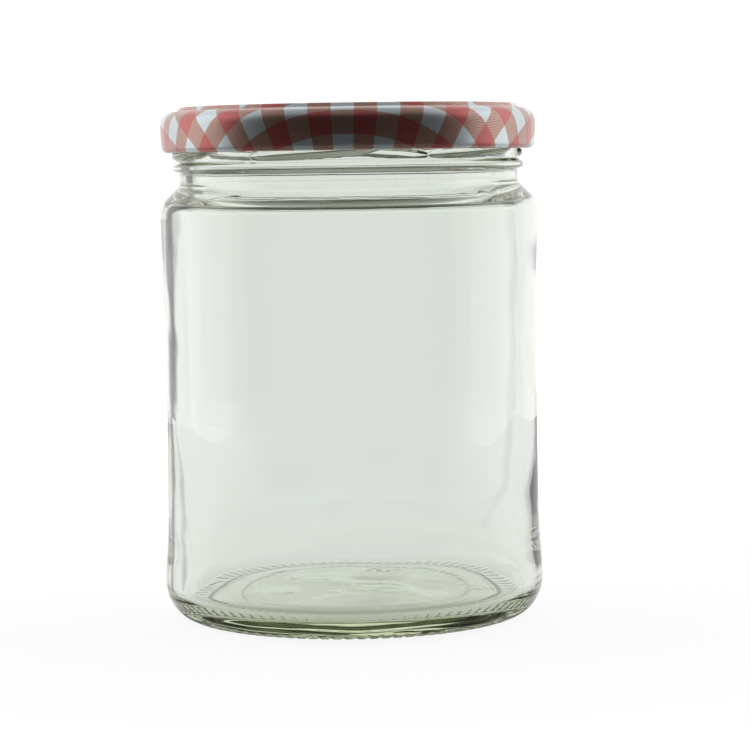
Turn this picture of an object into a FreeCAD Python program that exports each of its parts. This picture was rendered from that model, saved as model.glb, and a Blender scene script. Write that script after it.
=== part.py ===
import FreeCAD, Part
import math
import os

# A round glass preserving jar of about half a litre, closed by a twist-off lid.
# Millimetres, +Z up. The origin is the centre of the base, on the surface it stands on.
# Angles round the jar are in degrees from the front, -Y, towards +X.

# Glass body
NECK_RADIUS = 38.75  # the root of the thread
SHOULDER_STEP = 4.75  # how far the widest band stands out from the neck
HEEL_WIDTH = 7.5
HEEL_HEIGHT = 8.5
BAND_DROP = 0.25  # the shoulder band is a little slimmer than the heel band
PANEL_DROP = 0.63  # the label panel near each band
WAIST_DROP = 0.85  # the label panel at its middle
PANEL_HEIGHT = 83.4
PANEL_ENTRY = 12.5  # from each band to where the panel has its drop
SHOULDER_RISE = 7.6
SHOULDER_ROUND = 4.9
NECK_ROUND = 1.5
WALL = 2.4
NECK_WALL = 2.9
RIM_ROLL = 0.45  # the share of the neck wall that each edge of the rim rounds off
INNER_NECK_DROP = 1.6  # the bore starts to widen this far below the foot of the neck
INNER_NECK_ROUND = 2.4
INNER_SHOULDER_DROP = 5.1  # and reaches the inside of the body here
INNER_SHOULDER_ROUND = 1.5
FLOOR = 3.6
INNER_HEEL_ROUND = 8.0

# Underside
BEARING_WIDTH = 1.8  # the flat ring that the jar stands on
BEARING_ROUND = 0.48
RECESS_DEPTH = 1.2
RECESS_ROUND = 0.72
PUSH_UP_RISE = 0.9
PUSH_UP_STEP = 0.45  # the low step round the push-up, as high as it is wide
PUSH_UP_ROUND = 0.9
PUSH_UP_RADIUS = 26.0
PUSH_UP_FLAT = 9.0
DOME_ROUND = 26.0
GRIP_PITCH = 2.6
GRIP_RADIUS = 0.9
GRIP_DEPTH = 0.4
GRIP_REACH = 2.34  # each way from the outer edge of the bearing ring
MARK_COUNT = 4
MARK_PITCH = 3.2
MARK_RADIUS = 0.9
MARK_RELIEF = 0.35
MARK_DRAFT = 0.2

# Finish: bead, thread and rim
BEAD_RISE = 3.9  # above the foot of the neck
BEAD_DEPTH = 1.35
BEAD_WIDTH = 2.5
BEAD_FACE = 1.25  # the part of its width that stands out in full
BEAD_ROUND = 0.62
BEAD_ROOT_ROUND = 0.3
RIM_RISE = 12.2  # above the bead
STARTS = 6
FIRST_START = -33.0
THREAD_LENGTH = 68.0
THREAD_RISE = 2.35  # the low end, above the bead
THREAD_SLOPE = 0.0375  # mm for each degree of the low run
LOW_RUN = 34.0
SEAT_TURN = 48.0
TIP_RUN = 10.0
TIP_SHARE = 0.1  # of the full depth, at the very end of a rib
TIP_SLIM = 0.3  # of the full height, at the very end of a rib
THREAD_DEPTH = 1.7
THREAD_HEIGHT = 2.3
CREST_HEIGHT = 1.5
FLANK_DEPTH = 0.95
SECTION_STEP = 4.0
BURIED = 0.5  # how far each rib starts inside the neck wall

# Lid
SHEET = 0.3
LID_HEIGHT = 10.3
SKIRT_GAP = 2.09  # from the thread to the inside of the skirt
SKIRT_LEAN = 0.34
LEAN_RISE = 3.6  # the skirt leans in below here, from the foot of the lid
LEAN_ROUND = 12.0
CURL_WIDTH = 1.45
CURL_HEIGHT = 1.7
CURL_ROUND = 0.4
CURL_RETURN = 0.95  # the free edge, turned back towards the skirt
CORNER_ROUND = 3.25
RING_INSIDE = 3.85  # the raised ring, inwards from the neck radius
RING_OUTSIDE = 0.65
RING_RISE = 0.9
RING_SLOPE = 0.9
RING_ROUND = 0.5
PANEL_DEPTH = 1.3
PANEL_SLOPE = 1.7
PANEL_ROUND = 0.8
LUG_REACH = 0.6  # clear of the neck
LUG_HEIGHT = 1.1
LUG_BOW = 9.0
LUG_ROUND = 0.35
LUG_TURN = 56.0
LUG_GAP = 0.12

# Seal
SEAL_DEPTH = 1.3

BODY_RADIUS = NECK_RADIUS + SHOULDER_STEP
BAND_RADIUS = BODY_RADIUS - BAND_DROP
BAND_Z = HEEL_HEIGHT + PANEL_HEIGHT
NECK_Z = BAND_Z + SHOULDER_RISE
BEAD_Z = NECK_Z + BEAD_RISE
RIM_Z = BEAD_Z + RIM_RISE
MOUTH_RADIUS = NECK_RADIUS - NECK_WALL
CAVITY_RADIUS = BODY_RADIUS - WAIST_DROP - WALL
RIM_ROUND = NECK_WALL * RIM_ROLL
BEARING_OUTSIDE = BODY_RADIUS - HEEL_WIDTH
BEARING_INSIDE = BEARING_OUTSIDE - BEARING_WIDTH
RECESS_RADIUS = BEARING_INSIDE - RECESS_DEPTH
PUSH_UP_TOP = RECESS_DEPTH + PUSH_UP_RISE
LID_TOP = RIM_Z + SEAL_DEPTH + SHEET
LID_BOTTOM = LID_TOP - LID_HEIGHT
LUG_TOP = LID_BOTTOM + LUG_HEIGHT
RING_Z = LID_TOP - SHEET / 2
SHOULDER_Z = RING_Z - RING_RISE
RING_START = NECK_RADIUS - RING_INSIDE
RING_END = NECK_RADIUS - RING_OUTSIDE
SKIRT_RADIUS = NECK_RADIUS + THREAD_DEPTH + SKIRT_GAP + SHEET / 2
SKIRT_FOOT = SKIRT_RADIUS - SKIRT_LEAN


def point(radius, z):
    """A point of a profile, in the plane that is turned about the axis."""
    return FreeCAD.Vector(radius, 0, z)


def around(radius, angle, z):
    """A point at a radius and an angle from the front."""
    turn = math.radians(angle)
    return FreeCAD.Vector(radius * math.sin(turn), -radius * math.cos(turn), z)


def line(start, end):
    return Part.LineSegment(start, end).toShape()


def directions(corners, index):
    """The unit vectors into and out of one corner of a path."""
    before, here, after = (point(*corner[:2]) for corner in corners[index - 1 : index + 2])
    return (here - before).normalize(), (after - here).normalize()


def rounded_path(corners):
    """Edges through corners of (radius, z, bend), with each bend as a tangent arc."""
    edges = []
    pen = point(*corners[0][:2])
    for index in range(1, len(corners) - 1):
        radius, z, bend = corners[index]
        corner = point(radius, z)
        into, out = directions(corners, index)
        half_turn = into.getAngle(out) / 2
        reach = bend * math.tan(half_turn)
        start = corner - into * reach
        end = corner + out * reach
        inward = (out - into).normalize()
        middle = corner + inward * (bend / math.cos(half_turn) - bend)
        if start.distanceToPoint(pen) > 1e-6:
            edges.append(line(pen, start))
        edges.append(Part.Arc(start, middle, end).toShape())
        pen = end
    last = point(*corners[-1][:2])
    if last.distanceToPoint(pen) > 1e-6:
        edges.append(line(pen, last))
    return edges


def left_of(direction):
    return FreeCAD.Vector(-direction.z, 0, direction.x)


def offset_corners(corners, distance):
    """The same path moved to its left, every bend keeping its centre."""
    moved = []
    for index, (radius, z, bend) in enumerate(corners):
        if index == 0:
            into = out = directions(corners, 1)[0]
        elif index == len(corners) - 1:
            into = out = directions(corners, index - 1)[1]
        else:
            into, out = directions(corners, index)
        side = left_of(into) + left_of(out)
        spot = point(radius, z) + side * (distance / (1 + left_of(into).dot(left_of(out))))
        left_turn = left_of(into).dot(out) > 0
        new_bend = bend - distance if left_turn else bend + distance
        moved.append((spot.x, spot.z, new_bend if bend else 0))
    return moved


def turned(edges):
    """A solid of revolution from the edges of a closed profile."""
    profile = Part.Face(Part.Wire(Part.__sortEdges__(edges)))
    return profile.revolve(FreeCAD.Vector(0, 0, 0), FreeCAD.Vector(0, 0, 1), 360)


def heel_edge():
    """A quarter ellipse from the bearing ring out to the widest band."""
    centre = point(BEARING_OUTSIDE, HEEL_HEIGHT)
    foot = point(BEARING_OUTSIDE, 0)
    side = point(BODY_RADIUS, HEEL_HEIGHT)
    return Part.Ellipse(foot, side, centre).toShape(0, math.pi / 2)


def panel_edge():
    """The label panel: a slight waist between the heel band and the shoulder band."""
    middle = HEEL_HEIGHT + PANEL_HEIGHT / 2
    spots = [
        point(BODY_RADIUS, HEEL_HEIGHT),
        point(BODY_RADIUS - PANEL_DROP, HEEL_HEIGHT + PANEL_ENTRY),
        point(BODY_RADIUS - WAIST_DROP, middle),
        point(BODY_RADIUS - PANEL_DROP, BAND_Z - PANEL_ENTRY),
        point(BAND_RADIUS, BAND_Z),
    ]
    up = FreeCAD.Vector(0, 0, 1)
    curve = Part.BSplineCurve()
    curve.interpolate(Points=spots, InitialTangent=up, FinalTangent=up)
    return curve.toShape()


def glass_profile():
    """The closed half section of the glass, without thread, grip or marks."""
    slope = BAND_RADIUS - NECK_RADIUS
    bead_crest = NECK_RADIUS + BEAD_DEPTH
    outside = [
        (BAND_RADIUS, BAND_Z, 0),
        (BAND_RADIUS, NECK_Z - slope, SHOULDER_ROUND),
        (NECK_RADIUS, NECK_Z, NECK_ROUND),
        (NECK_RADIUS, BEAD_Z - BEAD_WIDTH / 2, BEAD_ROOT_ROUND),
        (bead_crest, BEAD_Z - BEAD_FACE / 2, BEAD_ROUND),
        (bead_crest, BEAD_Z + BEAD_FACE / 2, BEAD_ROUND),
        (NECK_RADIUS, BEAD_Z + BEAD_WIDTH / 2, BEAD_ROOT_ROUND),
        (NECK_RADIUS, RIM_Z, RIM_ROUND),
        (MOUTH_RADIUS, RIM_Z, RIM_ROUND),
        (MOUTH_RADIUS, NECK_Z - INNER_NECK_DROP, INNER_NECK_ROUND),
        (CAVITY_RADIUS, NECK_Z - INNER_SHOULDER_DROP, INNER_SHOULDER_ROUND),
        (CAVITY_RADIUS, RECESS_DEPTH + FLOOR, INNER_HEEL_ROUND),
        (PUSH_UP_FLAT, PUSH_UP_TOP + FLOOR, DOME_ROUND),
        (0, PUSH_UP_TOP + FLOOR, 0),
    ]
    underside = [
        (0, PUSH_UP_TOP, 0),
        (PUSH_UP_FLAT, PUSH_UP_TOP, DOME_ROUND),
        (PUSH_UP_RADIUS, RECESS_DEPTH + PUSH_UP_STEP, PUSH_UP_ROUND),
        (PUSH_UP_RADIUS + PUSH_UP_STEP, RECESS_DEPTH, PUSH_UP_ROUND),
        (RECESS_RADIUS, RECESS_DEPTH, RECESS_ROUND),
        (BEARING_INSIDE, 0, BEARING_ROUND),
        (BEARING_OUTSIDE, 0, 0),
    ]
    axis = line(point(0, PUSH_UP_TOP + FLOOR), point(0, PUSH_UP_TOP))
    return rounded_path(underside) + [heel_edge(), panel_edge()] + rounded_path(outside) + [axis]


def grip_grooves():
    """Short grooves across the bearing ring, which leave it a stippled grip."""
    count = round(2 * math.pi * BEARING_OUTSIDE / GRIP_PITCH)
    grooves = []
    for index in range(count):
        angle = 360 * index / count
        start = around(BEARING_OUTSIDE - GRIP_REACH, angle, GRIP_DEPTH - GRIP_RADIUS)
        end = around(BEARING_OUTSIDE + GRIP_REACH, angle, GRIP_DEPTH - GRIP_RADIUS)
        grooves.append(Part.makeCylinder(GRIP_RADIUS, 2 * GRIP_REACH, start, end - start))
    return grooves


def mould_marks():
    """A plain row of dots raised on the underside, where a mould number would be."""
    dots = []
    for index in range(MARK_COUNT):
        x = (index - (MARK_COUNT - 1) / 2) * MARK_PITCH
        foot = FreeCAD.Vector(x, 0, PUSH_UP_TOP - MARK_RELIEF)
        height = MARK_RELIEF + FLOOR / 2
        dots.append(Part.makeCone(MARK_RADIUS - MARK_DRAFT, MARK_RADIUS, height, foot))
    return dots


def thread_height(turn, low, seat):
    """The middle of a rib at a turn from its low end: a gentle run, a climb, then level."""
    gentle = low + THREAD_SLOPE * min(turn, LOW_RUN)
    share = (turn - LOW_RUN) / (SEAT_TURN - LOW_RUN)
    share = min(max(share, 0), 1)
    return gentle + (seat - gentle) * share**2 * (3 - 2 * share)


def thread_section(angle, height, share):
    """A rib's closed section with sloping flanks and a round crest, at a share of its size."""
    slim = TIP_SLIM + (1 - TIP_SLIM) * share
    half_root = slim * THREAD_HEIGHT / 2
    half_crest = slim * CREST_HEIGHT / 2
    root = NECK_RADIUS - BURIED
    flank = root + (BURIED + FLANK_DEPTH) * share
    crest = root + (BURIED + THREAD_DEPTH) * share
    low_root = around(root, angle, height - half_root)
    high_root = around(root, angle, height + half_root)
    low_flank = around(flank, angle, height - half_crest)
    high_flank = around(flank, angle, height + half_crest)
    top = around(crest, angle, height)
    return Part.Wire(
        [
            line(low_root, low_flank),
            Part.Arc(low_flank, top, high_flank).toShape(),
            line(high_flank, high_root),
            line(high_root, low_root),
        ]
    )


def thread_rib(first_angle):
    """One start of the thread, fading into the neck at both ends."""
    low = BEAD_Z + THREAD_RISE
    # The underside of a rib rises from its root, so the root may be lower than the lug's nose.
    flank_rise = THREAD_HEIGHT / 2 * LUG_REACH / (2 * THREAD_DEPTH)
    seat = LUG_TOP + LUG_GAP + THREAD_HEIGHT / 2 - flank_rise
    count = round(THREAD_LENGTH / SECTION_STEP)
    sections = []
    for index in range(count + 1):
        turn = THREAD_LENGTH * index / count
        end_distance = min(turn, THREAD_LENGTH - turn)
        share = math.sin(math.pi / 2 * min(end_distance / TIP_RUN, 1))
        share = max(share, TIP_SHARE)
        height = thread_height(turn, low, seat)
        sections.append(thread_section(first_angle + turn, height, share))
    return Part.makeLoft(sections, True, False)


def make_jar():
    """The glass: body, shoulder, bead, thread, rim, base with grip ring and marks."""
    glass = turned(glass_profile())
    glass = glass.cut(grip_grooves())
    ribs = [thread_rib(FIRST_START + 360 * start / STARTS) for start in range(STARTS)]
    return glass.fuse(mould_marks() + ribs)


def ring_corners():
    """The raised ring of the lid and the slope down to its shoulder, on the mid sheet."""
    return [
        (RING_END, RING_Z, RING_ROUND),
        (RING_END + RING_SLOPE, SHOULDER_Z, RING_ROUND),
    ]


def lid_corners():
    """The mid line of the sheet from the middle of the panel to the end of the curl."""
    curl_z = LID_BOTTOM + SHEET / 2
    curl_inside = SKIRT_FOOT - CURL_WIDTH
    return [
        (0, RING_Z - PANEL_DEPTH, 0),
        (RING_START - PANEL_SLOPE, RING_Z - PANEL_DEPTH, PANEL_ROUND),
        (RING_START, RING_Z, PANEL_ROUND),
        *ring_corners(),
        (SKIRT_RADIUS, SHOULDER_Z, CORNER_ROUND),
        (SKIRT_RADIUS, LID_BOTTOM + LEAN_RISE, LEAN_ROUND),
        (SKIRT_FOOT, curl_z, CURL_WIDTH - CURL_ROUND),
        (curl_inside, curl_z, CURL_ROUND),
        (curl_inside, curl_z + CURL_HEIGHT, CURL_ROUND),
        (curl_inside + CURL_RETURN, curl_z + CURL_HEIGHT, 0),
    ]


def sheet_profile(corners):
    """The closed section of a bent sheet about its mid line."""
    upper = offset_corners(corners, SHEET / 2)
    lower = offset_corners(corners, -SHEET / 2)
    ends = [
        line(point(*upper[0][:2]), point(*lower[0][:2])),
        line(point(*upper[-1][:2]), point(*lower[-1][:2])),
    ]
    return rounded_path(upper) + rounded_path(lower) + ends


def lid_lug(angle):
    """One bowed lug, pressed in from the curl to run under the thread."""
    nose = NECK_RADIUS + LUG_REACH
    centre = around(nose + LUG_BOW, angle, LID_BOTTOM)
    disc = Part.makeCylinder(LUG_BOW, LUG_HEIGHT, centre)
    disc = disc.makeFillet(LUG_ROUND, [edge for edge in disc.Edges if edge.isClosed()])
    curl_inside = SKIRT_FOOT - CURL_WIDTH + CURL_ROUND
    inside = Part.makeCylinder(curl_inside, LUG_HEIGHT, point(0, LID_BOTTOM))
    return disc.common(inside)


def make_lid():
    """The pressed tinplate lid: panel, raised ring, skirt, inward curl and six lugs."""
    shell = turned(sheet_profile(lid_corners()))
    first = FIRST_START + LUG_TURN
    lugs = [lid_lug(first + 360 * start / STARTS) for start in range(STARTS)]
    return shell.fuse(lugs)


def make_seal():
    """The lining ring that fills the raised ring of the lid down to the glass rim."""
    corners = [
        (RING_START + RING_ROUND, RING_Z, 0),
        *ring_corners(),
        (RING_END + RING_SLOPE + RING_ROUND, SHOULDER_Z, 0),
    ]
    under_lid = offset_corners(corners, -SHEET / 2)
    inner_top = point(*under_lid[0][:2])
    outer_top = point(*under_lid[-1][:2])
    inner_foot = point(inner_top.x, RIM_Z)
    outer_foot = point(outer_top.x, RIM_Z)
    closing = [
        line(outer_top, outer_foot),
        line(outer_foot, inner_foot),
        line(inner_foot, inner_top),
    ]
    return turned(rounded_path(under_lid) + closing)


def export(shape, node):
    """One closed solid to its file, named after its node."""
    (solid,) = shape.Solids
    if not solid.isValid():
        raise ValueError(f"{node} isn't a valid solid")
    os.makedirs("parts", exist_ok=True)
    solid.exportStep(f"parts/{node}.step")


export(make_jar(), "jar")
export(make_lid(), "lid")
export(make_seal(), "lid_seal")
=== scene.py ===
import math

import bmesh
import bpy
import numpy as np
from mathutils import Euler, Matrix, Vector


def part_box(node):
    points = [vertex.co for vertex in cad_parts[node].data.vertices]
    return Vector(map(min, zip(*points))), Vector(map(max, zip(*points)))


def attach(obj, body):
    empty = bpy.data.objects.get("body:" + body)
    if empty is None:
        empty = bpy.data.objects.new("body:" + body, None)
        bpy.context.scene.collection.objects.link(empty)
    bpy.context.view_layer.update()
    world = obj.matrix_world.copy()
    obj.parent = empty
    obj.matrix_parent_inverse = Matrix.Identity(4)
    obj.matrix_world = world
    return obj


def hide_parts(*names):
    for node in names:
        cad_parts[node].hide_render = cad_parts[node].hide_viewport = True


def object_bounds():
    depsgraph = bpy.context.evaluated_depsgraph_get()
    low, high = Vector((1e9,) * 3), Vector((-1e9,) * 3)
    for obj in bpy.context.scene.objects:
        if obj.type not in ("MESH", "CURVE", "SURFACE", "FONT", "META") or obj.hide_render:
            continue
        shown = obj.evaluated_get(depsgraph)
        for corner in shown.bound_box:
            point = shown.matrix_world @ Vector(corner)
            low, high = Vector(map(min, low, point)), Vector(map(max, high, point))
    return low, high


# The looks of a glass preserving jar with a gingham twist-off lid.
# Sizes of the jar are in millimetres until a mesh is made; the stage and the materials are in metres.
# Angles round the jar are from the front, -Y, towards +X.

MM = 0.001

bpy.context.scene.view_settings.view_transform = "Standard"

# Light runs a long way inside the thick base before it comes out
bpy.context.scene.cycles.max_bounces = 32
bpy.context.scene.cycles.glossy_bounces = 24
bpy.context.scene.cycles.transmission_bounces = 32

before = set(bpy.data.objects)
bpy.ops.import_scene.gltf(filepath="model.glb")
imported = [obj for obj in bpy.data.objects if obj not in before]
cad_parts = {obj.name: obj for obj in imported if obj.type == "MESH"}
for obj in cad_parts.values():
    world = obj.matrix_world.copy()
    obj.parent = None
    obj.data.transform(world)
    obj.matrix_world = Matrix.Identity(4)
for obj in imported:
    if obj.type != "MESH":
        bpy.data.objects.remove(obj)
cad_low, cad_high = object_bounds()
jar_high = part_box("jar")[1]
lid_low, lid_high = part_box("lid")
seal_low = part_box("lid_seal")[0]

# Glass, from the node's box
BODY_RADIUS = jar_high.x / MM
RIM_Z = jar_high.z / MM
NECK_RADIUS = BODY_RADIUS - 4.75
BAND_RADIUS = BODY_RADIUS - 0.25
HEEL_WIDTH = 7.5
HEEL_HEIGHT = 8.5
BEAD_Z = RIM_Z - 12.2
NECK_Z = BEAD_Z - 3.9
BAND_Z = NECK_Z - 7.6
PANEL_DROP = 0.63
PANEL_EDGE = 0.16  # the share of the panel's height in which it sinks
WAIST_DROP = 0.85
BAND_EDGE = 0.85  # the share of the panel's height where the shoulder band's own drop starts
BEAD_DEPTH = 1.35
BEAD_WIDTH = 2.5
SHOULDER_ROUND = 4.9
NECK_ROUND = 1.5
BEAD_ROUND = 0.62
BEAD_ROOT_ROUND = 0.3
RIM_ROUND = 1.3
MOUTH_RADIUS = NECK_RADIUS - 2.9
CAVITY_RADIUS = BODY_RADIUS - 3.25
INNER_NECK_Z = NECK_Z - 2.0
INNER_NECK_ROUND = 2.4
INNER_SHOULDER_Z = NECK_Z - 5.7
INNER_SHOULDER_ROUND = 2.0
INNER_HEEL_ROUND = 3.5
FLOOR_THICKNESS = 3.6
RECESS_DEPTH = 1.2
RECESS_ROUND = 0.72
PUSH_UP_TOP = 2.1
PUSH_UP_RADIUS = 26.0
PUSH_UP_FLAT = 9.0
PUSH_UP_STEP = 0.45
PUSH_UP_ROUND = 0.9
DOME_ROUND = 26.0
BEARING_OUTSIDE = BODY_RADIUS - HEEL_WIDTH
BEARING_INSIDE = BEARING_OUTSIDE - 1.8
BEARING_ROUND = 0.48
GRIP_COUNT = 87
GRIP_DEPTH = 0.3
GRIP_SHARPNESS = 1.5
GRIP_INNER_EDGE = (BEARING_OUTSIDE - 2.1, BEARING_OUTSIDE - 1.6)
GRIP_OUTER_EDGE = (BEARING_OUTSIDE + 0.6, BEARING_OUTSIDE + 2.3)
NOTCH_DEPTH = 0.8
NOTCH_INNER_EDGE = (BEARING_OUTSIDE + 0.2, BEARING_OUTSIDE + 1.6)
NOTCH_TOP_EDGE = (0.6, 1.3)
WALL_UNEVENNESS = 0.16
UNEVEN_FROM_RADIUS = (25, 34)
UNEVEN_FROM_HEIGHT = (5, 14)
UNEVEN_TO_HEIGHT = (NECK_Z - 20, NECK_Z - 8)
FLOOR_UNEVENNESS = 0.15
FLOOR_UNEVEN_TO_RADIUS = (18, 27)
DOT_COUNT = 4
DOT_PITCH = 3.2
DOT_RADIUS = 0.9
DOT_DRAFT = 0.2
DOT_RELIEF = 0.35
DOTTED_RADIUS = 7.0  # the middle of the underside, meshed finely enough for the dots
COLUMNS = 8 * GRIP_COUNT
PANEL_ROWS = 40
HEEL_ROWS = 20

# Thread
STARTS = 6
FIRST_START = -33.0
THREAD_LENGTH = 68.0
THREAD_LOW = BEAD_Z + 2.35
THREAD_SLOPE = 0.0375
LOW_RUN = 34.0
SEAT_TURN = 48.0
TIP_RUN = 10.0
THREAD_DEPTH = 1.7
THREAD_HEIGHT = 2.5
THREAD_TOP = RIM_Z - 3.5  # the neck is meshed finely up to here
TIP_SLIM = 0.2  # a rib's share of its height at the very tip
CREST_FLATNESS = 2.4
FLANK_STEEPNESS = 0.75
SEAT_RISE = 2.1  # from the foot of the lid to the middle of a rib's level end

# Lid, from the node's box, and the lining in its raised ring
SHEET = 0.3
LID_TOP = lid_high.z / MM
LID_BOTTOM = lid_low.z / MM
SKIRT = lid_high.x / MM - SHEET / 2
SKIRT_LEAN = 0.34
LEAN_RISE = 4.1
LEAN_ROUND = 20.0
CURL_WIDTH = 1.45
CURL_HEIGHT = 1.7
CURL_RETURN = 0.97
CURL_ROUND = 0.4
CURL_TOP = LID_BOTTOM + 2.5
RING_Z = LID_TOP - SHEET / 2
RING_RISE = 0.9
RING_SLOPE = 0.9
RING_ROUND = 0.5
RING_START = NECK_RADIUS - 3.85
RING_END = NECK_RADIUS - 0.65
PANEL_DEPTH = 1.3
PANEL_SLOPE = 1.7
PANEL_ROUND = 0.8
SHOULDER_Z = RING_Z - RING_RISE
CORNER_ROUND = 3.25
LUG_TURN = 56.0
LUG_HALF_TURN = 8.5
LUG_BOW = 1.4
LUG_TOP_EDGE = (LID_BOTTOM + 1.0, LID_BOTTOM + 1.7)
LUG_OUTER_EDGE = (SKIRT - 1.75, SKIRT - 0.9)
LID_COLUMNS = 480
LINING_START = RING_START + 0.5
LINING_END = RING_END + RING_SLOPE + 0.5
LINING_COLUMNS = 240

# Gingham, on the flat sheet before it was pressed. The lines of the hatch run along the diagonal.
CHECK = 5.0
FIRST_ACROSS = 1.68
FIRST_ALONG = 41.6
DRAW_RATE = 0.942  # flat millimetres for each millimetre down the corner and skirt
PRINT_TURN = math.radians(-0.4)
HATCH_PITCH = 0.33
INK_WHITE = (0.70, 0.77, 0.80)
INK_RED = (0.57, 0.14, 0.13)
HATCH_DARK = (0.40, 0.17, 0.13)
HATCH_LIGHT = (0.64, 0.45, 0.38)

# Lacquer and lining inside the lid
LACQUER_DARK = (0.50, 0.50, 0.44)
LACQUER_LIGHT = (0.58, 0.57, 0.50)
LINING_DARK = (0.74, 0.72, 0.64)
LINING_LIGHT = (0.82, 0.80, 0.73)

# Clear glass
GLASS_TINT = (0.957, 0.986, 0.962)
GLASS_ABSORPTION = (0.70, 0.78, 0.39)
GLASS_DENSITY = 12
GLASS_IOR = 1.52

# Light. Levels are shares of plain white. Ranges are of a direction's share towards the back (BEHIND),
# towards the right (ACROSS) or upwards (ABOVE), or of the distance from the jar's middle in metres (AWAY).
DARK_ROOM = 0.03  # mirrored from the front
SIDE_LIGHT = 1.1  # mirrored from the sides and the back
SIDES_BEHIND = (-0.5, 0.25)
TOP_LIGHT = 0.35  # mirrored from overhead
TOP_ABOVE = (0.7, 0.97)
CARD = 0.90  # the card behind the jar, through the glass
CARD_BESIDE = 0.08  # what stands beside it
CARD_BEHIND = (0.25, 0.6)
CARD_OVER = 0.04  # what is left of the card above its upper edge
CARD_ABOVE = (0.25, 0.4)
GAP_DEPTH = 0.95
GAP_OUTER_ACROSS = (-0.72, -0.6)
GAP_INNER_ACROSS = (-0.44, -0.32)
GAP_BEHIND = (0.5, 0.7)
FLOOR_GAP_SCALE = 1.6  # brings the painted shade of the gap on the floor under the gap in the card
FLOOR_GAP_SHIFT = 0.16
FLOOR_RADIUS = 0.5
FLOOR_SIDES = 96
FLOOR_COLOUR = (0.18, 0.18, 0.18)
FLOOR_FAR_AWAY = (0.12, 0.45)
FLOOR_GLOW = 0.9  # to the camera, by the jar, where the light that falls on the floor adds the rest
# Painted shadow on the floor under the jar, seen through the glass, with its olive tint, reach and shift
FLOOR_PAINTED_SHADOW = 0.46  # through the glass, a painted shadow under the jar
FLOOR_UNDER_TINT = (0.98, 1.0, 0.82)
FLOOR_UNDER_AWAY = (0.026, 0.048)
FLOOR_UNDER_SHIFT = 0.008  # towards the front
FLOOR_BESIDE = 0.75  # through the glass, beside the jar
FLOOR_FAR = 0.15  # more of the same far from it
# Painted shade on the floor in front of the jar, seen through the glass
FLOOR_FRONT_DIMMING = 0.9
FLOOR_FRONT_BEHIND = (-0.5, 0.1)
FLOOR_FRONT_AWAY = (0.07, 0.16)
FLOOR_MIRRORED = (0.15, 0.74)  # painted shade in front of the jar and painted light behind it, as mirrors show the floor
FLOOR_MIRRORED_BEHIND = (-0.3, 0.3)
LIGHT_PLACE = (0.75, 0.1, 0.3)
LIGHT_AIM = (0, 0, 0.09)
LIGHT_SIZE = (0.6, 0.9)
LIGHT_POWER = 0.6

# Camera, just below the level of the lid, looking slightly down. Metres and radians.
SENSOR = 36
LENS = 133.5552
CAMERA_AWAY = 0.64
CAMERA_DROP = 0.01247
PITCH = 0.0772
YAW = -0.00845
ROLL = -0.015


def directions(corners, index):
    """The unit vectors into and out of one corner of a path."""
    before, here, after = (Vector(corner[:2]) for corner in corners[index - 1 : index + 2])
    return (here - before).normalized(), (after - here).normalized()


def add_line(points, end, step):
    """Carries points straight on to the end, in pieces no longer than the step."""
    start = points[-1]
    count = max(1, math.ceil((end - start).length / step))
    points.extend(start.lerp(end, (i + 1) / count) for i in range(count))


def rounded(corners, step, arc_step=12):
    """Points (radius, z) along a path through corners of (radius, z, bend), steps in mm and degrees."""
    points = [Vector(corners[0][:2])]
    for index in range(1, len(corners) - 1):
        corner, bend = Vector(corners[index][:2]), corners[index][2]
        into, out = directions(corners, index)
        half_turn = into.angle(out) / 2
        reach = bend * math.tan(half_turn)
        start, end = corner - into * reach, corner + out * reach
        centre = corner + (out - into).normalized() * (bend / math.cos(half_turn))
        if (start - points[-1]).length > 1e-6:
            add_line(points, start, step)
        count = max(2, math.ceil(math.degrees(2 * half_turn) / arc_step))
        spoke = start - centre
        turn = spoke.angle_signed(end - centre)
        for i in range(count):
            share = turn * (i + 1) / count
            c, s = math.cos(share), math.sin(share)
            points.append(centre + Vector((spoke.x * c + spoke.y * s, spoke.y * c - spoke.x * s)))
    last = Vector(corners[-1][:2])
    if (last - points[-1]).length > 1e-6:
        add_line(points, last, step)
    return points


def left_of(direction):
    return Vector((-direction.y, direction.x))


def offset_corners(corners, distance):
    """The same path moved to its left, every bend keeping its centre."""
    shifted = []
    for index, (radius, z, bend) in enumerate(corners):
        if index == 0:
            into = out = directions(corners, 1)[0]
        elif index == len(corners) - 1:
            into = out = directions(corners, index - 1)[1]
        else:
            into, out = directions(corners, index)
        side = left_of(into) + left_of(out)
        spot = Vector((radius, z)) + side * (distance / (1 + left_of(into).dot(left_of(out))))
        left_turn = left_of(into).dot(out) > 0
        new_bend = bend - distance if left_turn else bend + distance
        shifted.append((spot.x, spot.y, new_bend if bend else 0))
    return shifted


def smoothstep(low, high, value):
    """0 up to low and 1 from high on, smooth between."""
    share = np.clip((value - low) / (high - low), 0, 1)
    return share * share * (3 - 2 * share)


def band_faces(at_pole, columns, closed):
    """The faces between each ring of points and the next, triangles where one is at a pole."""
    rows = len(at_pole)
    column = np.arange(columns)
    beside = (column + 1) % columns
    faces = []
    for row in range(rows if closed else rows - 1):
        next_row = (row + 1) % rows
        here, above = row * columns, next_row * columns
        if at_pole[row]:
            band = np.stack([np.full(columns, here), above + beside, above + column], 1)
        elif at_pole[next_row]:
            band = np.stack([here + column, here + beside, np.full(columns, above)], 1)
        else:
            band = np.stack([here + column, here + beside, above + beside, above + column], 1)
        faces.extend(band.tolist())
    return faces


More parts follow.
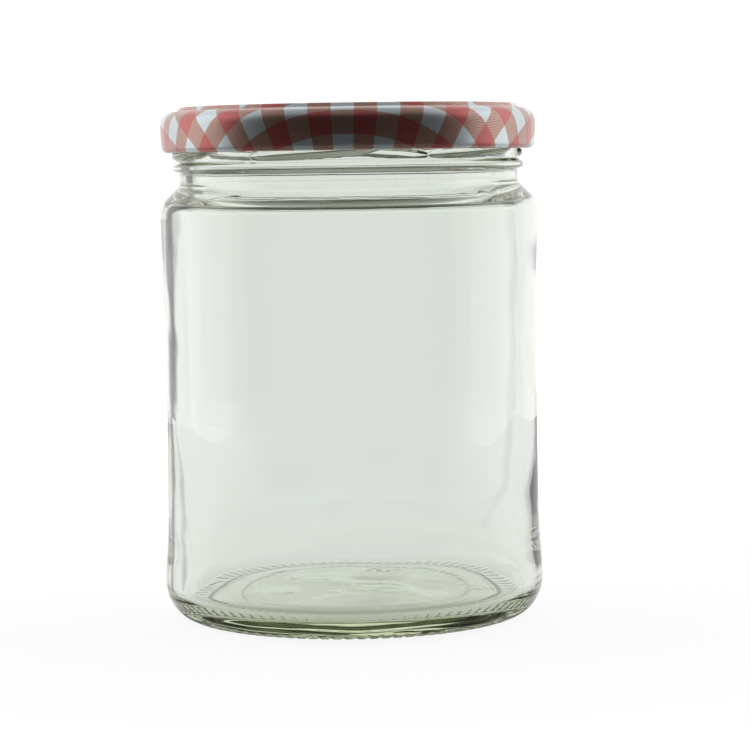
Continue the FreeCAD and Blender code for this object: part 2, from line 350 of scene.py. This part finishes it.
def lathe(name, profile, columns, shape=None, closed=False):
    """A smooth mesh turned from points (radius, z); shape may move the grid of radii and heights."""
    path = np.array([tuple(point) for point in profile])
    angle = np.arange(columns) * 2 * math.pi / columns
    radius = np.repeat(path[:, :1], columns, 1)
    height = np.repeat(path[:, 1:], columns, 1)
    angles = np.repeat(angle[None], len(path), 0)
    if shape:
        radius, height = shape(radius, height, angles)
    x, y = radius * np.sin(angles), -radius * np.cos(angles)
    vertices = np.stack([x, y, height], 2).reshape(-1, 3) * MM
    at_pole = path[:, 0] < 1e-6
    mesh = bpy.data.meshes.new(name)
    mesh.from_pydata(vertices.tolist(), [], band_faces(at_pole, columns, closed))
    mesh.polygons.foreach_set("use_smooth", [True] * len(mesh.polygons))
    mesh.update()
    piece = bpy.data.objects.new(name, mesh)
    bpy.context.scene.collection.objects.link(piece)
    if at_pole.any():
        drop_loose(mesh)
    return piece


def drop_loose(mesh):
    """Removes the spare points at the poles."""
    work = bmesh.new()
    work.from_mesh(mesh)
    bmesh.ops.delete(work, geom=[v for v in work.verts if not v.link_faces], context="VERTS")
    work.to_mesh(mesh)
    work.free()


def panel_points():
    """The label panel: a slight waist between the heel band and the shoulder band."""
    points = []
    for share in np.linspace(0, 1, PANEL_ROWS)[1:]:
        end = min(share, 1 - share)
        drop = PANEL_DROP * smoothstep(0, PANEL_EDGE, end)
        drop += (WAIST_DROP - PANEL_DROP) * math.sin(math.pi * share) ** 2
        drop += (BODY_RADIUS - BAND_RADIUS) * smoothstep(BAND_EDGE, 1, share)
        points.append(Vector((BODY_RADIUS - drop, HEEL_HEIGHT + (BAND_Z - HEEL_HEIGHT) * share)))
    return points


def glass_profile():
    """The half section of the glass, from the middle of the underside to the middle of the floor."""
    recess = BEARING_INSIDE - RECESS_DEPTH
    underside = [
        (DOTTED_RADIUS, PUSH_UP_TOP, 0),
        (PUSH_UP_FLAT, PUSH_UP_TOP, DOME_ROUND),
        (PUSH_UP_RADIUS, RECESS_DEPTH + PUSH_UP_STEP, PUSH_UP_ROUND),
        (PUSH_UP_RADIUS + PUSH_UP_STEP, RECESS_DEPTH, PUSH_UP_ROUND),
        (recess, RECESS_DEPTH, RECESS_ROUND),
        (BEARING_INSIDE, 0, BEARING_ROUND),
        (BEARING_OUTSIDE, 0, 0),
    ]
    points = [Vector((0, PUSH_UP_TOP))]
    add_line(points, Vector((DOTTED_RADIUS, PUSH_UP_TOP)), step=0.25)
    points.extend(rounded(underside, step=2.0)[1:])
    points.extend(bearing_to_heel())
    points.extend(panel_points())
    slope = BAND_RADIUS - NECK_RADIUS
    bead = NECK_RADIUS + BEAD_DEPTH
    half = BEAD_WIDTH / 2
    neck = [
        (BAND_RADIUS, BAND_Z, 0),
        (BAND_RADIUS, NECK_Z - slope, SHOULDER_ROUND),
        (NECK_RADIUS, NECK_Z, NECK_ROUND),
        (NECK_RADIUS, BEAD_Z - half, BEAD_ROOT_ROUND),
        (bead, BEAD_Z - half / 2, BEAD_ROUND),
        (bead, BEAD_Z + half / 2, BEAD_ROUND),
        (NECK_RADIUS, BEAD_Z + half, BEAD_ROOT_ROUND),
        (NECK_RADIUS, BEAD_Z + half + 0.35, 0),
    ]
    points.extend(rounded(neck, step=1.0)[1:])
    add_line(points, Vector((NECK_RADIUS, THREAD_TOP)), step=0.22)
    inside = [
        (NECK_RADIUS, THREAD_TOP, 0),
        (NECK_RADIUS, RIM_Z, RIM_ROUND),
        (MOUTH_RADIUS, RIM_Z, RIM_ROUND),
        (MOUTH_RADIUS, INNER_NECK_Z, INNER_NECK_ROUND),
        (CAVITY_RADIUS, INNER_SHOULDER_Z, INNER_SHOULDER_ROUND),
        (CAVITY_RADIUS, RECESS_DEPTH + FLOOR_THICKNESS, INNER_HEEL_ROUND),
        (PUSH_UP_FLAT, PUSH_UP_TOP + FLOOR_THICKNESS, DOME_ROUND),
        (0, PUSH_UP_TOP + FLOOR_THICKNESS, 0),
    ]
    points.extend(rounded(inside, step=2.5, arc_step=8)[1:])
    return points


def bearing_to_heel():
    """A quarter ellipse from the bearing ring out to the widest band."""
    points = []
    for turn in np.linspace(0, math.pi / 2, HEEL_ROWS)[1:]:
        radius = BEARING_OUTSIDE + HEEL_WIDTH * math.sin(turn)
        points.append(Vector((radius, HEEL_HEIGHT * (1 - math.cos(turn)))))
    return points


def thread_depth(height, angles):
    """How far the thread stands out from the neck at each point."""
    depth = np.zeros_like(height)
    seat = LID_BOTTOM + SEAT_RISE
    for start in range(STARTS):
        turn = (np.degrees(angles) - FIRST_START - 360 * start / STARTS) % 360
        share = np.clip((turn - LOW_RUN) / (SEAT_TURN - LOW_RUN), 0, 1)
        gentle = THREAD_LOW + THREAD_SLOPE * np.minimum(turn, LOW_RUN)
        middle = gentle + (seat - gentle) * share**2 * (3 - 2 * share)
        from_end = np.clip(np.minimum(turn, THREAD_LENGTH - turn) / TIP_RUN, 0, 1)
        grown = np.sin(math.pi / 2 * from_end)
        half = THREAD_HEIGHT / 2 * (TIP_SLIM + (1 - TIP_SLIM) * grown)
        across = np.clip(1 - (np.abs(height - middle) / half) ** CREST_FLATNESS, 0, 1)
        rib = THREAD_DEPTH * grown * across**FLANK_STEEPNESS
        depth = np.maximum(depth, np.where(turn < THREAD_LENGTH, rib, 0))
    return depth


def raised_dots(x, y):
    """The row of plain dots in the middle of the underside, from 0 to 1."""
    dots = np.zeros_like(x)
    for index in range(DOT_COUNT):
        middle = (index - (DOT_COUNT - 1) / 2) * DOT_PITCH
        spread = np.hypot(x - middle, y)
        dots = np.maximum(dots, 1 - smoothstep(DOT_RADIUS - DOT_DRAFT, DOT_RADIUS, spread))
    return dots


def base_shape(radius, height, angles):
    """How far the dots hang down below the base, and the unevenness of the floor inside."""
    x, y = radius * np.sin(angles), -radius * np.cos(angles)
    between = PUSH_UP_TOP + 1
    below = (height < between) & (radius < DOTTED_RADIUS)
    above = (height > between) & (height < PUSH_UP_TOP + FLOOR_THICKNESS + 2)
    uneven = np.sin(x / 4.1 + 0.5 * np.sin(y / 5.3)) * np.sin(y / 3.7 + 1.3)
    uneven = uneven + 0.6 * np.sin(x / 9.5 + y / 6.1 + 0.8)
    uneven = uneven * (1 - smoothstep(*FLOOR_UNEVEN_TO_RADIUS, radius))
    return FLOOR_UNEVENNESS * uneven * above - DOT_RELIEF * raised_dots(x, y) * below


def wall_shape(radius, height, angles):
    """The slight unevenness of the inner wall, as blown glass has it."""
    inner = smoothstep(*UNEVEN_FROM_RADIUS, radius) * (radius < CAVITY_RADIUS + 0.1)
    inner = inner * smoothstep(*UNEVEN_FROM_HEIGHT, height) * (1 - smoothstep(*UNEVEN_TO_HEIGHT, height))
    uneven = np.sin(2 * angles + 0.6) * np.sin(height / 31 + 1.1)
    uneven = uneven + 0.7 * np.sin(3 * angles + 2.0 + height / 40) * np.cos(height / 17)
    uneven = uneven + 0.35 * np.sin(7 * angles + height / 9) * np.sin(height / 11 + 2 * angles)
    return WALL_UNEVENNESS * uneven * inner


def glass_shape(radius, height, angles):
    """Thread, grip grooves, dots and the slight unevenness of blown glass."""
    outer = radius > NECK_RADIUS - 0.01
    on_thread = outer & (height > BEAD_Z + BEAD_WIDTH / 2) & (height < RIM_Z - 2)
    radius = radius + np.where(on_thread, thread_depth(height, angles), 0)
    groove = np.clip(np.cos(angles * GRIP_COUNT), 0, 1) ** GRIP_SHARPNESS
    ring = smoothstep(*GRIP_INNER_EDGE, radius) * (1 - smoothstep(*GRIP_OUTER_EDGE, radius)) * (height < 1)
    heel = (radius > BEARING_OUTSIDE) * (1 - smoothstep(*NOTCH_TOP_EDGE, height))
    radius = radius - NOTCH_DEPTH * groove * heel * smoothstep(*NOTCH_INNER_EDGE, radius)
    height = height + GRIP_DEPTH * groove * ring
    height = height + base_shape(radius, height, angles)
    radius = radius + wall_shape(radius, height, angles)
    return radius, height


def lid_corners():
    """The mid line of the sheet from the middle of the panel to the end of the curl."""
    foot = SKIRT - SKIRT_LEAN
    curl = foot - CURL_WIDTH
    curl_z = LID_BOTTOM + SHEET / 2
    panel_z = RING_Z - PANEL_DEPTH
    return [
        (0, panel_z, 0),
        (RING_START - PANEL_SLOPE, panel_z, PANEL_ROUND),
        (RING_START, RING_Z, PANEL_ROUND),
        (RING_END, RING_Z, RING_ROUND),
        (RING_END + RING_SLOPE, SHOULDER_Z, RING_ROUND),
        (SKIRT, SHOULDER_Z, CORNER_ROUND),
        (SKIRT, LID_BOTTOM + LEAN_RISE, LEAN_ROUND),
        (foot, curl_z, CURL_WIDTH - CURL_ROUND),
        (curl, curl_z, CURL_ROUND),
        (curl, curl_z + CURL_HEIGHT, CURL_ROUND),
        (curl + CURL_RETURN, curl_z + CURL_HEIGHT, 0),
    ]


def lug_shape(radius, height, angles):
    """Bows the inner side of the curl inwards at six lugs."""
    spacing = 360 / STARTS
    turn = (np.degrees(angles) - FIRST_START - LUG_TURN + spacing / 2) % spacing - spacing / 2
    bow = LUG_BOW * np.clip(1 - (turn / LUG_HALF_TURN) ** 2, 0, 1)
    low = 1 - smoothstep(*LUG_TOP_EDGE, height)
    inward = 1 - smoothstep(*LUG_OUTER_EDGE, radius)
    return radius - np.where(height < CURL_TOP, bow * low * inward, 0), height


def make_lid():
    """The lid, with the print's material outside and the plain one inside."""
    corners = lid_corners()
    outside = rounded(offset_corners(corners, SHEET / 2), step=0.8)
    inside = rounded(offset_corners(corners, -SHEET / 2), step=0.8)
    piece = lathe("lid_shell", inside + list(reversed(outside)), LID_COLUMNS, lug_shape)
    plain_side = np.zeros(len(piece.data.polygons), np.int32)
    plain_side[: (len(inside) - 1) * LID_COLUMNS] = 1
    piece.data.polygons.foreach_set("material_index", plain_side)
    return piece


def sheet_attribute(piece):
    """Where each point of the lid was on the flat printed sheet, in millimetres."""
    mesh = piece.data
    spots = np.empty(len(mesh.vertices) * 3)
    mesh.vertices.foreach_get("co", spots)
    x, y, z = spots.reshape(-1, 3).T / MM
    radius = np.hypot(x, y)
    bend = SKIRT - CORNER_ROUND
    bend_z = SHOULDER_Z - CORNER_ROUND
    turned = np.clip(np.arctan2(radius - bend, z - bend_z), 0, math.pi / 2)
    drawn = CORNER_ROUND * turned + np.clip(bend_z - z, 0, None)
    flat = np.minimum(radius, bend) + DRAW_RATE * drawn
    angle = np.arctan2(x, -y) - PRINT_TURN
    attribute = mesh.attributes.new("flat_sheet", "FLOAT_VECTOR", "POINT")
    values = np.stack([flat * np.sin(angle), flat * np.cos(angle), np.zeros_like(x)], 1)
    attribute.data.foreach_set("vector", values.astype(np.float32).ravel())


def make_seal():
    """The lining, which fills the raised ring down to the rim of the glass."""
    corners = [
        (LINING_START, RING_Z, 0),
        (RING_END, RING_Z, RING_ROUND),
        (RING_END + RING_SLOPE, SHOULDER_Z, RING_ROUND),
        (LINING_END, SHOULDER_Z, 0),
    ]
    top = rounded(offset_corners(corners, -SHEET / 2), step=0.6)
    foot = seal_low.z / MM
    loop = top + [Vector((top[-1].x, foot)), Vector((top[0].x, foot))]
    return lathe("lid_lining", list(reversed(loop)), LINING_COLUMNS, closed=True)


# Materials


def new_material(name):
    material = bpy.data.materials.new(name)
    material.use_nodes = True
    tree = material.node_tree
    return material, tree, tree.nodes["Principled BSDF"]


def feed(tree, socket, value):
    """Sets a socket to a number or a colour, or links it to another socket."""
    if isinstance(value, bpy.types.NodeSocket):
        tree.links.new(value, socket)
    elif isinstance(value, tuple):
        socket.default_value = (*value, 1)
    else:
        socket.default_value = value


def math_node(tree, operation, *values):
    node = tree.nodes.new("ShaderNodeMath")
    node.operation = operation
    for socket, value in zip(node.inputs, values):
        feed(tree, socket, value)
    return node.outputs[0]


def product(tree, first, second):
    return math_node(tree, "MULTIPLY", first, second)


def remainder(tree, value):
    return math_node(tree, "SUBTRACT", 1.0, value)


def noise(tree, scale, detail):
    coordinates = tree.nodes.new("ShaderNodeTexCoord")
    texture = tree.nodes.new("ShaderNodeTexNoise")
    texture.inputs["Scale"].default_value = scale
    texture.inputs["Detail"].default_value = detail
    tree.links.new(coordinates.outputs["Object"], texture.inputs["Vector"])
    return texture.outputs["Fac"]


def bump(tree, shader, height, distance, strength=1.0):
    node = tree.nodes.new("ShaderNodeBump")
    node.inputs["Distance"].default_value = distance
    node.inputs["Strength"].default_value = strength
    tree.links.new(height, node.inputs["Height"])
    tree.links.new(node.outputs["Normal"], shader.inputs["Normal"])


def lacquer_bump(tree, shader):
    """The faint orange peel of lacquered tinplate."""
    bump(tree, shader, noise(tree, scale=900, detail=2), distance=0.00002, strength=0.5)


def mixed(tree, factor, first, second):
    """A colour that goes from the first to the second as the factor goes from 0 to 1."""
    node = tree.nodes.new("ShaderNodeMix")
    node.data_type = "RGBA"
    feed(tree, node.inputs["Factor"], factor)
    feed(tree, node.inputs[6], first)
    feed(tree, node.inputs[7], second)
    return node.outputs[2]


def chosen(tree, factor, at_zero, at_one):
    """A number that goes from one value to the other as the factor goes from 0 to 1."""
    node = tree.nodes.new("ShaderNodeMix")
    node.data_type = "FLOAT"
    feed(tree, node.inputs["Factor"], factor)
    feed(tree, node.inputs["A"], at_zero)
    feed(tree, node.inputs["B"], at_one)
    return node.outputs[0]


def map_range(tree, value, low, high, at_low, at_high):
    """Goes smoothly from at_low to at_high as the value goes from low to high."""
    node = tree.nodes.new("ShaderNodeMapRange")
    node.interpolation_type = "SMOOTHSTEP"
    feed(tree, node.inputs["Value"], value)
    for name, number in (("From Min", low), ("From Max", high), ("To Min", at_low), ("To Max", at_high)):
        node.inputs[name].default_value = number
    return node.outputs[0]


def glass_material():
    material, tree, shader = new_material("clear_glass")
    feed(tree, shader.inputs["Base Color"], GLASS_TINT)
    shader.inputs["Roughness"].default_value = 0.0
    shader.inputs["IOR"].default_value = GLASS_IOR
    shader.inputs["Transmission Weight"].default_value = 1.0
    absorption = tree.nodes.new("ShaderNodeVolumeAbsorption")
    feed(tree, absorption.inputs["Color"], GLASS_ABSORPTION)
    absorption.inputs["Density"].default_value = GLASS_DENSITY
    output = tree.nodes["Material Output"]
    tree.links.new(absorption.outputs[0], output.inputs["Volume"])
    bump(tree, shader, noise(tree, scale=55, detail=1.5), distance=0.0002)
    return material


def stripe(tree, value, first):
    """1 on a coloured stripe and 0 between, along one axis of the flat sheet."""
    past = math_node(tree, "SUBTRACT", value, first)
    cycle = math_node(tree, "FLOORED_MODULO", past, 2 * CHECK)
    return math_node(tree, "LESS_THAN", cycle, CHECK)


def hatch_line(tree, across, along):
    """1 on the dark lines of the hatch and 0 on the light ones."""
    diagonal = math_node(tree, "ADD", across, along)
    wave = math_node(tree, "SINE", product(tree, diagonal, math.sqrt(2) * math.pi / HATCH_PITCH))
    return math_node(tree, "GREATER_THAN", wave, 0.0)


def gingham_material():
    """Red where two stripes cross, hatched on a single stripe, and white between."""
    material, tree, shader = new_material("gingham_lacquer")
    attribute = tree.nodes.new("ShaderNodeAttribute")
    attribute.attribute_name = "flat_sheet"
    split = tree.nodes.new("ShaderNodeSeparateXYZ")
    tree.links.new(attribute.outputs["Vector"], split.inputs[0])
    across, along = split.outputs["X"], split.outputs["Y"]
    red_across = stripe(tree, across, FIRST_ACROSS)
    red_along = stripe(tree, along, FIRST_ALONG)
    hatch = mixed(tree, hatch_line(tree, across, along), HATCH_LIGHT, HATCH_DARK)
    ground = mixed(tree, math_node(tree, "MAXIMUM", red_across, red_along), INK_WHITE, hatch)
    colour = mixed(tree, product(tree, red_across, red_along), ground, INK_RED)
    feed(tree, shader.inputs["Base Color"], colour)
    shader.inputs["Metallic"].default_value = 0.6
    shader.inputs["Roughness"].default_value = 0.3
    shader.inputs["Coat Weight"].default_value = 0.2
    shader.inputs["Coat Roughness"].default_value = 0.06
    lacquer_bump(tree, shader)
    return material


def lacquer_material():
    """The clear lacquer on the bare tinplate inside the lid."""
    material, tree, shader = new_material("inner_lacquer")
    colour = mixed(tree, noise(tree, scale=60, detail=3), LACQUER_DARK, LACQUER_LIGHT)
    feed(tree, shader.inputs["Base Color"], colour)
    shader.inputs["Metallic"].default_value = 0.5
    shader.inputs["Roughness"].default_value = 0.35
    lacquer_bump(tree, shader)
    return material


def lining_material():
    material, tree, shader = new_material("sealing_compound")
    colour = mixed(tree, noise(tree, scale=300, detail=3), LINING_DARK, LINING_LIGHT)
    feed(tree, shader.inputs["Base Color"], colour)
    shader.inputs["Roughness"].default_value = 0.45
    bump(tree, shader, noise(tree, scale=700, detail=2), distance=0.00005)
    return material


# Stage


def ray_kind(tree, name):
    return tree.nodes.new("ShaderNodeLightPath").outputs[name]


def moved(tree, vector, offset):
    node = tree.nodes.new("ShaderNodeVectorMath")
    node.operation = "ADD"
    tree.links.new(vector, node.inputs[0])
    node.inputs[1].default_value = offset
    return node.outputs["Vector"]


def length(tree, vector):
    node = tree.nodes.new("ShaderNodeVectorMath")
    node.operation = "LENGTH"
    tree.links.new(vector, node.inputs[0])
    return node.outputs["Value"]


def bearings(tree, direction):
    """A direction's share towards the right and the back, seen from above, and its height."""
    split = tree.nodes.new("ShaderNodeSeparateXYZ")
    tree.links.new(direction, split.inputs[0])
    x, y, z = split.outputs
    reach = math_node(tree, "SQRT", math_node(tree, "ADD", product(tree, x, x), product(tree, y, y)))
    return math_node(tree, "DIVIDE", x, reach), math_node(tree, "DIVIDE", y, reach), z


def beside_gap(tree, right, behind):
    """1, but low in a gap at the left of the card behind the jar, which draws the jar's left edge."""
    outer = map_range(tree, right, *GAP_OUTER_ACROSS, 0.0, 1.0)
    inner = map_range(tree, right, *GAP_INNER_ACROSS, 1.0, 0.0)
    gap = product(tree, product(tree, outer, inner), map_range(tree, behind, *GAP_BEHIND, 0.0, 1.0))
    return remainder(tree, product(tree, gap, GAP_DEPTH))


def make_world():
    """Soft light from both sides and behind, a dim front, and plain white for the camera."""
    world = bpy.data.worlds.new("studio")
    world.use_nodes = True
    bpy.context.scene.world = world
    tree = world.node_tree
    coordinates = tree.nodes.new("ShaderNodeTexCoord")
    right, behind, height = bearings(tree, coordinates.outputs["Generated"])
    around = map_range(tree, behind, *SIDES_BEHIND, DARK_ROOM, SIDE_LIGHT)
    overhead = map_range(tree, height, *TOP_ABOVE, 0.0, 1.0)
    mirrored = chosen(tree, overhead, around, TOP_LIGHT)
    card = map_range(tree, behind, *CARD_BEHIND, CARD_BESIDE, CARD)
    card = product(tree, card, map_range(tree, height, *CARD_ABOVE, 1.0, CARD_OVER))
    through = product(tree, card, beside_gap(tree, right, behind))
    seen = chosen(tree, ray_kind(tree, "Is Transmission Ray"), mirrored, through)
    seen = math_node(tree, "MAXIMUM", seen, ray_kind(tree, "Is Camera Ray"))
    background = tree.nodes["Background"]
    background.inputs["Color"].default_value = (1, 1, 1, 1)
    tree.links.new(seen, background.inputs["Strength"])


def floor_through_glass(tree, spot, under, far, behind):
    """The floor's level through the glass, with painted shade: a painted shadow under the jar, and painted
    shade in front of it and below the gap.
    """
    level = chosen(tree, under, FLOOR_BESIDE, FLOOR_PAINTED_SHADOW)
    level = math_node(tree, "ADD", level, product(tree, far, FLOOR_FAR))
    # Painted shade in front of the jar
    front = map_range(tree, behind, *FLOOR_FRONT_BEHIND, FLOOR_FRONT_DIMMING, 0.0)
    front = product(tree, front, map_range(tree, length(tree, spot), *FLOOR_FRONT_AWAY, 0.0, 1.0))
    level = product(tree, level, remainder(tree, front))
    # Painted shade below the gap in the card, laid out from the left edge of the jar
    right, beyond = bearings(tree, moved(tree, spot, (BODY_RADIUS * MM, 0, 0)))[:2]
    right = math_node(tree, "ADD", product(tree, right, FLOOR_GAP_SCALE), FLOOR_GAP_SHIFT)
    return product(tree, level, beside_gap(tree, right, beyond))


def floor_material():
    """White to the camera with a soft shadow by the jar, darker through the glass and mirrored, where its
    glow carries painted shadow, shade and light.
    """
    material, tree, shader = new_material("white_floor")
    shader.inputs["Roughness"].default_value = 0.9
    shader.inputs["Specular IOR Level"].default_value = 0.0
    coordinates = tree.nodes.new("ShaderNodeTexCoord")
    spot = coordinates.outputs["Object"]
    behind = bearings(tree, spot)[1]
    through_glass = ray_kind(tree, "Is Transmission Ray")
    # Far from the jar the floor only glows, so no light or shadow shows on it
    far = map_range(tree, length(tree, spot), *FLOOR_FAR_AWAY, 0.0, 1.0)
    feed(tree, shader.inputs["Base Color"], mixed(tree, far, FLOOR_COLOUR, (0.0, 0.0, 0.0)))
    # Through the glass the floor carries a painted shadow under the jar, tinted olive
    shifted = moved(tree, spot, (0, FLOOR_UNDER_SHIFT, 0))
    under = map_range(tree, length(tree, shifted), *FLOOR_UNDER_AWAY, 1.0, 0.0)
    tint = mixed(tree, product(tree, through_glass, under), (1.0, 1.0, 1.0), FLOOR_UNDER_TINT)
    feed(tree, shader.inputs["Emission Color"], tint)
    # What mirrors show of the floor: painted shade in front of the jar and painted light behind it
    mirrored = map_range(tree, behind, *FLOOR_MIRRORED_BEHIND, *FLOOR_MIRRORED)
    glow = product(tree, ray_kind(tree, "Is Glossy Ray"), mirrored)
    glow = chosen(tree, through_glass, glow, floor_through_glass(tree, spot, under, far, behind))
    plain = math_node(tree, "ADD", far, FLOOR_GLOW)
    glow = chosen(tree, ray_kind(tree, "Is Camera Ray"), glow, plain)
    feed(tree, shader.inputs["Emission Strength"], glow)
    return material


def make_floor():
    """A flat disc under the jar."""
    turns = [2 * math.pi * index / FLOOR_SIDES for index in range(FLOOR_SIDES)]
    ring = [(FLOOR_RADIUS * math.cos(turn), FLOOR_RADIUS * math.sin(turn), 0) for turn in turns]
    mesh = bpy.data.meshes.new("floor")
    mesh.from_pydata(ring, [], [list(range(FLOOR_SIDES))])
    mesh.materials.append(floor_material())
    floor = bpy.data.objects.new("floor", mesh)
    bpy.context.scene.collection.objects.link(floor)


def soft_light(name, side):
    """A large soft light at one side, 1 for the right and -1 for the left."""
    data = bpy.data.lights.new(name, "AREA")
    data.shape = "RECTANGLE"
    data.size, data.size_y = LIGHT_SIZE
    data.energy = LIGHT_POWER
    light = bpy.data.objects.new(name, data)
    bpy.context.scene.collection.objects.link(light)
    light.location = (side * LIGHT_PLACE[0], *LIGHT_PLACE[1:])
    light.rotation_euler = (Vector(LIGHT_AIM) - light.location).to_track_quat("-Z", "Y").to_euler()


def make_camera():
    data = bpy.data.cameras.new("camera")
    camera = bpy.data.objects.new("camera", data)
    bpy.context.scene.collection.objects.link(camera)
    bpy.context.scene.camera = camera
    data.sensor_width = SENSOR
    data.lens = LENS
    data.dof.use_dof = False
    camera.location = (0, -CAMERA_AWAY, cad_high.z - CAMERA_DROP)
    look = Euler((math.pi / 2 - PITCH, 0, YAW)).to_matrix()
    camera.rotation_euler = (look @ Matrix.Rotation(ROLL, 3, "Z")).to_euler()


glass = lathe("jar_glass", glass_profile(), COLUMNS, glass_shape)
glass.data.materials.append(glass_material())
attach(glass, "root")
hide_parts("jar")

lid = make_lid()
sheet_attribute(lid)
lid.data.materials.append(gingham_material())
lid.data.materials.append(lacquer_material())
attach(lid, "root")
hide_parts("lid")

seal = make_seal()
seal.data.materials.append(lining_material())
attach(seal, "root")
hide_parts("lid_seal")

make_world()
make_floor()
soft_light("light_left", -1)
soft_light("light_right", 1)
make_camera()
